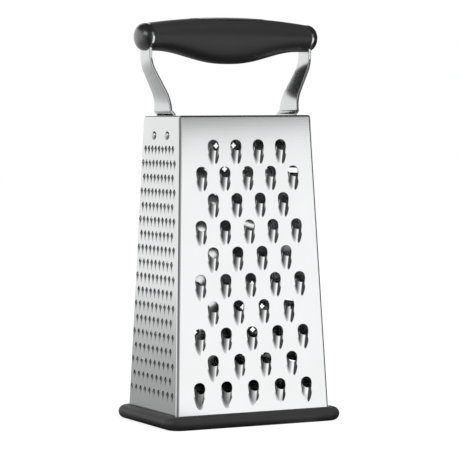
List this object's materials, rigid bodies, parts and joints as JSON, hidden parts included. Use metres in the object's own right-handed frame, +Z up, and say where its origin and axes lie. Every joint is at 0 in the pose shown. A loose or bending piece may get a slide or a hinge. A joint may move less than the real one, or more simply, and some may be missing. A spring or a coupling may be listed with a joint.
{
  "type": "box grater",
  "caption": "Tapered steel box grater with coarse, fine, slicing and zesting faces, a rubber foot ring and a black bridge handle.",
  "frame": {"origin": "on the table, under the middle of the rubber foot ring", "axes": "+Z up along the body, +X along the handle towards the narrow slicing face, -Y out of the wide coarse face"},
  "size_m": [0.1344, 0.0952, 0.276],
  "materials": {
    "polished_steel": "polished sheet with a faint brushed grain",
    "brushed_inlay": "fine brushed",
    "screw_steel": "plain machined",
    "rivet_steel": "satin",
    "black_rubber": "satin moulded",
    "soft_grip": "soft satin moulded",
    "black_plastic": "semi-gloss moulded"
  },
  "bodies": {
    "root": {"front_panel": "polished_steel", "back_panel": "polished_steel", "left_panel": "polished_steel", "right_panel": "polished_steel", "top_plate": "polished_steel", "base_ring": "black_rubber", "handle_strap_left": "polished_steel", "handle_strap_right": "polished_steel", "handle_core": "black_plastic", "handle_grip": "soft_grip", "handle_inlay": "brushed_inlay", "end_cap_left": "black_plastic", "end_cap_right": "black_plastic", "handle_screw_left": "screw_steel", "handle_screw_right": "screw_steel", "rivet_left_front": "rivet_steel", "rivet_left_rear": "rivet_steel", "rivet_right_front": "rivet_steel", "rivet_right_rear": "rivet_steel"}
  },
  "joints": []
}
